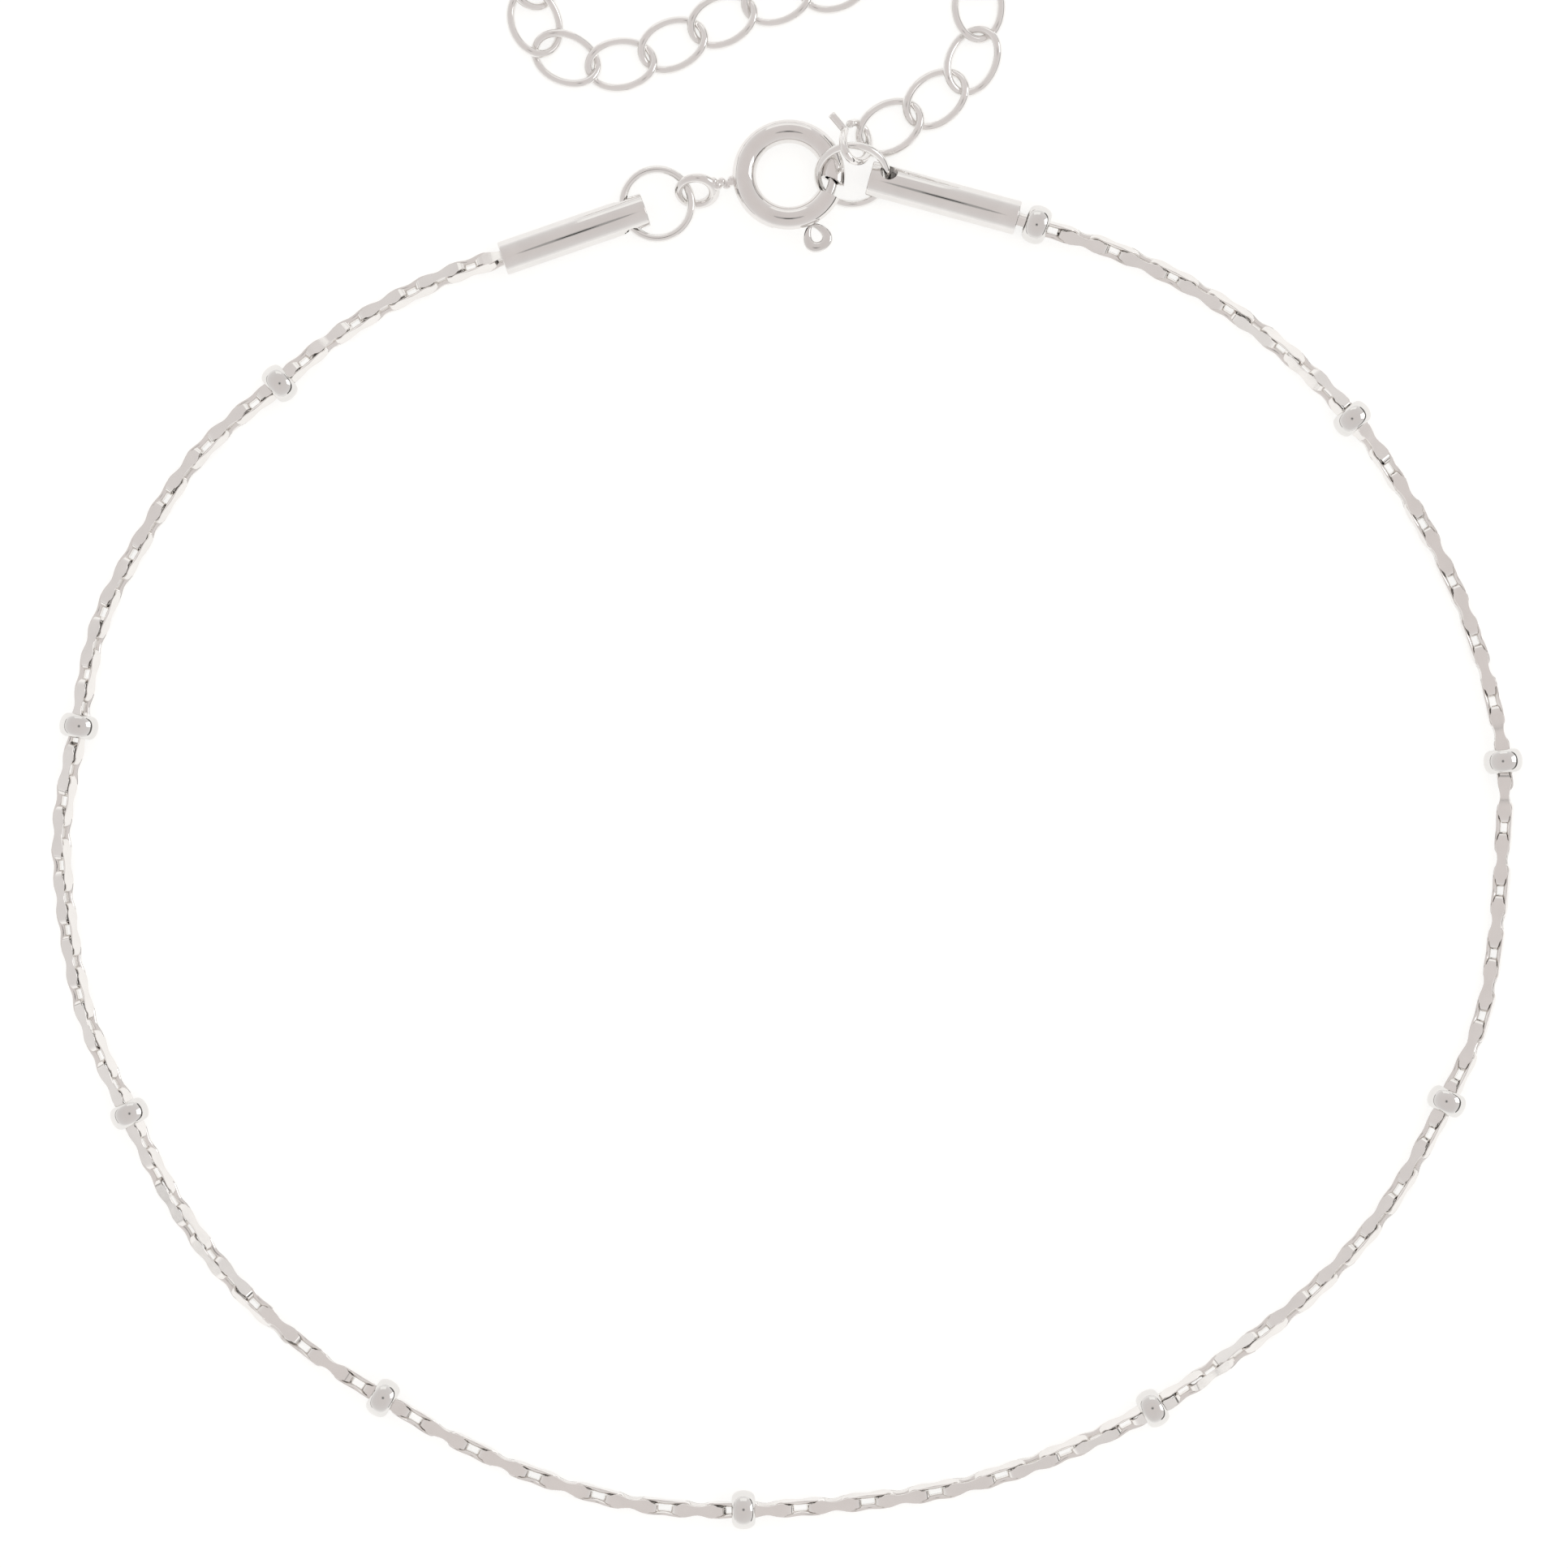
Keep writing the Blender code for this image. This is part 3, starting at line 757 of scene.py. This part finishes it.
def clasp_tube_mesh(name, around=120, across=40):
    """The hollow tube, open at both slanting ends."""
    skins = []
    for radius in (CLASP_TUBE / 2, CLASP_TUBE / 2 - CLASP_WALL):
        rings = []
        for i in range(around + 1):
            ring = []
            for j in range(across):
                phi = 2 * math.pi * j / across
                outward = (1 + math.cos(phi)) / 2
                first = CLASP_UPPER_END[0] + (CLASP_UPPER_END[1] - CLASP_UPPER_END[0]) * outward
                last = CLASP_LOWER_END[0] + (CLASP_LOWER_END[1] - CLASP_LOWER_END[0]) * outward
                turn = first + (360 + last - first) * i / around
                ring.append(on_circle(CLASP_RADIUS + radius * math.cos(phi), turn, radius * math.sin(phi)))
            rings.append(ring)
        skins.append(rings)
    outer, inner = skins
    return make_mesh(name, *skin(outer + inner[::-1], closed_along=True))


def slot_cutter(steps=24):
    """The curved block that cuts the trigger's slot in the tube's outer side."""
    rings = []
    near, far = SLOT_INNER, CLASP_OUTER / 2 + CLASP_WALL
    for i in range(steps + 1):
        share = i / steps
        turn = SLOT_TURNS[0] + (SLOT_TURNS[1] - SLOT_TURNS[0]) * share
        low, top = SLOT_HEIGHTS
        corners = ((near, low), (far, low), (far, top), (near, top))
        rings.append([on_circle(radius, turn, height) for radius, height in corners])
    return add_object("slot", make_mesh("slot", *skin(rings, caps=True)), clasp_seat())


def eyelet_mesh(name, around=72, across=20):
    """A ring of wire that grows thicker towards the clasp."""
    points = [on_circle(EYELET_RADIUS, 360 * i / around) for i in range(around)]
    thin, thick = EYELET_WIRE
    rings = wire_rings(points, [UP] * around, thin, across)
    for i, (point, ring) in enumerate(zip(points, rings)):
        share = (1 + math.cos(2 * math.pi * i / around)) / 2
        growth = 1 + (thick / thin - 1) * share * share
        rings[i] = [point + (corner - point) * growth for corner in ring]
    return make_mesh(name, *skin(rings, closed_along=True))


def solder_grain(row):
    x, y, z, radius = row
    mesh = bpy.data.meshes.new("grain")
    shape = bmesh.new()
    bmesh.ops.create_icosphere(shape, subdivisions=3, radius=radius * MM)
    shape.to_mesh(mesh)
    shape.free()
    return add_object("grain", mesh, Matrix.Translation(Vector((x, y, z)) * MM))


def build_clasp_ring(material):
    name = "clasp_ring_tube"
    tube = add_object(name, clasp_tube_mesh(name), clasp_seat())
    seat = Matrix.Translation(EYELET_CENTRE) @ turned(EYELET_TILT)
    eyelet = add_object("eyelet", eyelet_mesh("eyelet"), seat)
    neck = rod("neck", NECK_AT_EYELET, NECK_AT_TUBE, NECK_DIAMETER, sides=24)
    steps = [("DIFFERENCE", slot_cutter()), ("UNION", eyelet), ("UNION", neck)]
    steps += [("UNION", solder_grain(row)) for row in SOLDER_GRAINS]
    tube = joined(tube, steps)
    tube.data.set_sharp_from_angle(angle=math.radians(SHARP_ANGLE))
    finish_piece(tube, material, ["clasp_ring"])


def egg_point(near, far, width, taper, turn):
    """A point of an egg outline along X from near to far, wider towards far by taper."""
    middle, half = (near + far) / 2, (far - near) / 2
    a = 2 * math.pi * turn
    return Vector((middle + half * math.cos(a), width / 2 * math.sin(a) * (1 + taper * math.cos(a)), 0))


def trigger_rings(around=64, across=20):
    """The trigger loop: a rounded band between its egg-shaped outline and its hole."""
    rings = []
    for i in range(around):
        turn = i / around
        outer = egg_point(*TRIGGER_OUTER, TRIGGER_WIDTH, TRIGGER_TAPER, turn)
        inner = egg_point(*TRIGGER_HOLE, TRIGGER_HOLE_WIDTH, TRIGGER_HOLE_TAPER, turn)
        middle, reach = (outer + inner) / 2, (outer - inner) / 2
        ring = []
        for j in range(across):
            a = 2 * math.pi * j / across
            c, s = math.cos(a), math.sin(a)
            flat = math.copysign(abs(s) ** TRIGGER_ROUNDNESS, s)
            ring.append(middle + reach * c + UP * (flat * TRIGGER_THICKNESS / 2))
        rings.append(ring)
    return rings


def build_bolt(material):
    turns = [BOLT_TAIL + (BOLT_TIP - BOLT_TAIL) * i / BOLT_STEPS for i in range(BOLT_STEPS + 1)]
    path = [on_circle(CLASP_RADIUS, a) for a in turns]
    rings = wire_rings(path, [UP] * len(path), BOLT_WIRE, sides=24, closed=False)
    name = "clasp_bolt_wire"
    wire = add_object(name, make_mesh(name, *skin(rings, caps=True)), clasp_seat())
    aim = Matrix.Rotation(math.radians(TRIGGER_ANGLE), 4, "Z")
    seat = clasp_seat() @ aim @ Matrix.Translation((0, 0, TRIGGER_LIFT))
    loop = add_object("trigger", make_mesh("trigger", *skin(trigger_rings(), closed_along=True)), seat)
    neck_start = seat @ Vector((CLASP_RADIUS, 0, 0))
    neck_end = seat @ Vector((TRIGGER_OUTER[0] + TRIGGER_NECK_IN_LOOP, 0, 0))
    neck = rod("trigger_neck", neck_start, neck_end, TRIGGER_NECK, sides=20)
    bolt = joined(wire, [("UNION", neck), ("UNION", loop)])
    bolt.data.set_sharp_from_angle(angle=math.radians(SHARP_ANGLE))
    finish_piece(bolt, material, ["clasp_bolt"], body="bolt")


# The extension chain


def oval_link_rings(centre, along, around=64, across=16):
    """A twisted oval link round its centre."""
    side = UP.cross(along).normalized()
    points = []
    for i in range(around):
        a = 2 * math.pi * i / around
        x, y = EXTENSION_HALF_LENGTH * math.cos(a), EXTENSION_HALF_WIDTH * math.sin(a)
        points.append(centre + along * x + side * y - UP * (EXTENSION_TWIST * x * y))
    return wire_rings(points, [UP] * around, EXTENSION_WIRE, across)


def build_extension(material):
    """The links, each on the surface and in line with its neighbours."""
    centres = [Vector((x, y, 0)) * MM for x, y in EXTENSION_LINKS]
    lift = EXTENSION_TWIST * EXTENSION_HALF_LENGTH * EXTENSION_HALF_WIDTH / 2 + EXTENSION_WIRE / 2
    verts, faces = [], []
    last = len(centres) - 1
    for i, centre in enumerate(centres):
        before, after = centres[max(0, i - 1)], centres[min(last, i + 1)]
        along = (after - before).normalized()
        start = len(verts)
        link_verts, link_faces = skin(oval_link_rings(centre + UP * lift, along), closed_along=True)
        verts += link_verts
        faces += [tuple(start + v for v in face) for face in link_faces]
    name = "extension_chain_links"
    links = add_object(name, make_mesh(name, verts, faces))
    finish_piece(links, material, ["extension_chain"])


def build_joining_ring(material):
    """An open ring: one end is drawn out straight, and the other is cut off."""
    start, end = JOIN_CUT[1], JOIN_CUT[0] + 360
    arc = []
    for i in range(JOIN_STEPS + 1):
        a = math.radians(start + (end - start) * i / JOIN_STEPS)
        arc.append(JOIN_CENTRE + JOIN_EAST * math.cos(a) + JOIN_NORTH * math.sin(a))
    tail = [arc[0] + JOIN_TAIL * (1 - i / JOIN_TAIL_STEPS) for i in range(JOIN_TAIL_STEPS)]
    points = tail + arc
    name = "extension_joining_ring"
    rings = wire_rings(points, [JOIN_ACROSS] * len(points), JOIN_WIRE, closed=False)
    ring = add_object(name, make_mesh(name, *skin(rings, caps=True)))
    finish_piece(ring, material, ["extension_chain"])


# Materials


def dull_inside(nodes, links, place, bore, polish):
    """The roughness of a tube: dull where the distance from its axis is less than bore."""
    flat = nodes.new("ShaderNodeVectorMath")
    flat.operation = "MULTIPLY"
    flat.inputs[1].default_value = (1, 1, 0)
    links.new(place.outputs["Object"], flat.inputs[0])
    away = nodes.new("ShaderNodeVectorMath")
    away.operation = "LENGTH"
    links.new(flat.outputs["Vector"], away.inputs[0])
    mask = nodes.new("ShaderNodeMapRange")
    mask.inputs["From Min"].default_value = bore
    mask.inputs["From Max"].default_value = bore * BORE_BLUR
    mask.inputs["To Min"].default_value = BORE_ROUGHNESS
    mask.inputs["To Max"].default_value = 0.0
    links.new(away.outputs["Value"], mask.inputs["Value"])
    rougher = nodes.new("ShaderNodeMath")
    rougher.operation = "MAXIMUM"
    links.new(mask.outputs["Result"], rougher.inputs[0])
    links.new(polish.outputs["Result"], rougher.inputs[1])
    return rougher.outputs["Value"]


def polished_metal(name, colour, roughness, grain, bump, bore):
    """Silver-coloured metal from a row of METALS, with tarnish, uneven polish and fine relief at real
    scale."""
    material = bpy.data.materials.new(name)
    material.use_nodes = True
    nodes, links = material.node_tree.nodes, material.node_tree.links
    shader = nodes["Principled BSDF"]
    shader.inputs["Metallic"].default_value = 1.0
    place = nodes.new("ShaderNodeTexCoord")

    def noise(size, detail):
        node = nodes.new("ShaderNodeTexNoise")
        node.inputs["Scale"].default_value = 1 / size
        node.inputs["Detail"].default_value = detail
        links.new(place.outputs["Object"], node.inputs["Vector"])
        return node.outputs["Fac"]

    tarnish = nodes.new("ShaderNodeValToRGB")
    shades = [[c * TARNISH_DARK for c in colour], colour]
    for element, position, shade in zip(tarnish.color_ramp.elements, TARNISH_ENDS, shades):
        element.position = position
        element.color = (*shade, 1)
    links.new(noise(TARNISH_SIZE, detail=3), tarnish.inputs["Fac"])
    links.new(tarnish.outputs["Color"], shader.inputs["Base Color"])

    polish = nodes.new("ShaderNodeMapRange")
    polish.inputs["To Min"].default_value = roughness * POLISH_ENDS[0]
    polish.inputs["To Max"].default_value = roughness * POLISH_ENDS[1]
    links.new(noise(POLISH_SIZE, detail=4), polish.inputs["Value"])
    if bore:
        links.new(dull_inside(nodes, links, place, bore, polish), shader.inputs["Roughness"])
    else:
        links.new(polish.outputs["Result"], shader.inputs["Roughness"])

    relief = nodes.new("ShaderNodeBump")
    relief.inputs["Strength"].default_value = bump
    relief.inputs["Distance"].default_value = RELIEF_DEPTH
    links.new(noise(grain * MM, detail=2), relief.inputs["Height"])
    links.new(relief.outputs["Normal"], shader.inputs["Normal"])
    return material


# The set


def shade_plain(obj, colour, light, strength):
    """A dull surface of one colour that gives light of another."""
    material = bpy.data.materials.new(obj.name)
    material.use_nodes = True
    nodes, links = material.node_tree.nodes, material.node_tree.links
    shader = nodes["Principled BSDF"]
    shader.inputs["Base Color"].default_value = (*colour, 1)
    shader.inputs["Roughness"].default_value = 0.9
    shader.inputs["Specular IOR Level"].default_value = 0.0
    shader.inputs["Emission Color"].default_value = (*light, 1)
    shader.inputs["Emission Strength"].default_value = strength
    obj.data.materials.append(material)


def glow(obj, light, strength):
    """A sheet that gives light and is seen only in the metal, so that it is in no view."""
    shade_plain(obj, BLACK, light, strength)
    obj.visible_camera = False
    obj.visible_diffuse = False
    obj.visible_shadow = False
    obj.visible_transmission = False
    obj.visible_volume_scatter = False


def flat_sheet(name, centre, facing, side, width, height):
    """A rectangle that faces a direction, with its width along side."""
    rise = facing.cross(side)
    corners = [(-1, -1), (1, -1), (1, 1), (-1, 1)]
    verts = [centre + side * (width / 2 * a) + rise * (height / 2 * b) for a, b in corners]
    mesh = bpy.data.meshes.new(name)
    mesh.from_pydata(verts, [], [(0, 1, 2, 3)])
    obj = add_object(name, mesh)
    return obj


def build_panels():
    """Large cards outside the view, which give the metal its light and dark bands."""
    for name, turn, distance, low, high, width, colour, strength in PANELS:
        centre = on_circle(distance, turn, distance * math.tan(math.radians((low + high) / 2)))
        height = distance * (math.tan(math.radians(high)) - math.tan(math.radians(low)))
        facing = Vector((-centre.x, -centre.y, 0)).normalized()
        side = UP.cross(facing).normalized()
        glow(flat_sheet(name, centre, facing, side, width, height), colour, strength)


def disc_mesh(name, radius, sides=48):
    mesh = bpy.data.meshes.new(name)
    points = [on_circle(radius, 360 * i / sides) for i in range(sides)]
    mesh.from_pydata(points, [], [tuple(range(sides))])
    return mesh


def build_floor():
    floor = flat_sheet("floor", Vector((0, 0, 0)), UP, Vector((1, 0, 0)), FLOOR_SIZE, FLOOR_SIZE)
    shade_plain(floor, FLOOR_COLOUR, FLOOR_COLOUR, FLOOR_GLOW)


def build_camera_discs():
    """The front of the camera, which the metal shows as a dark spot."""
    for name, radius, rise, level in CAMERA_DISCS:
        disc = add_object(name, disc_mesh(name, radius * MM))
        disc.location = CAMERA_PLACE + UP * rise * MM
        glow(disc, CAMERA_COLOUR, level)


def build_tent():
    """The light from all round, which changes with the elevation only."""
    world = bpy.data.worlds.new("studio")
    bpy.context.scene.world = world
    world.use_nodes = True
    nodes, links = world.node_tree.nodes, world.node_tree.links
    background = nodes["Background"]
    place = nodes.new("ShaderNodeTexCoord")
    split = nodes.new("ShaderNodeSeparateXYZ")
    links.new(place.outputs["Generated"], split.inputs["Vector"])
    ramp = nodes.new("ShaderNodeValToRGB")
    while len(ramp.color_ramp.elements) < len(SKY):
        ramp.color_ramp.elements.new(0.5)
    for element, (at, *colour) in zip(ramp.color_ramp.elements, SKY):
        element.position = at
        element.color = (*colour, 1)
    links.new(split.outputs["Z"], ramp.inputs["Fac"])
    links.new(ramp.outputs["Color"], background.inputs["Color"])


def build_lamp():
    lamp = bpy.data.lights.new("soft_light", "AREA")
    lamp.shape = "SQUARE"
    lamp.size = LAMP_SIZE
    lamp.energy = LAMP_ENERGY
    obj = add_object("soft_light", lamp)
    obj.location = LAMP_PLACE
    obj.rotation_euler = LAMP_PLACE.to_track_quat("Z", "Y").to_euler()
    obj.visible_glossy = False


def build_camera():
    data = bpy.data.cameras.new("camera")
    data.sensor_width = SENSOR
    data.lens = SENSOR * VIEW_DISTANCE / VIEW_WIDTH
    data.clip_start = 1 * MM
    data.clip_end = 10
    camera = add_object("camera", data)
    camera.location = CAMERA_PLACE
    bpy.context.scene.camera = camera
    bpy.context.scene.view_settings.view_transform = "Standard"


def main():
    build_camera()
    metal = {row[0]: polished_metal(*row) for row in METALS}
    route = ChainRoute()
    build_chain(route, metal["faceted_silver"])
    build_beads(route, metal["mirror_silver"])
    tube = metal["tube_silver"]
    build_cap("end_cap_left", "left_cap_tube", LEFT_CAP_RING_END, LEFT_CAP_CHAIN_END, tube)
    build_cap("end_cap_right", "right_cap_tube", RIGHT_CAP_RING_END, RIGHT_CAP_CHAIN_END, tube)
    build_jump_rings(metal["ring_wire_silver"])
    build_clasp_ring(metal["clasp_silver"])
    build_bolt(metal["bolt_wire_silver"])
    build_extension(metal["extension_wire_silver"])
    build_joining_ring(metal["extension_wire_silver"])
    build_floor()
    build_camera_discs()
    build_panels()
    build_tent()
    build_lamp()


main()
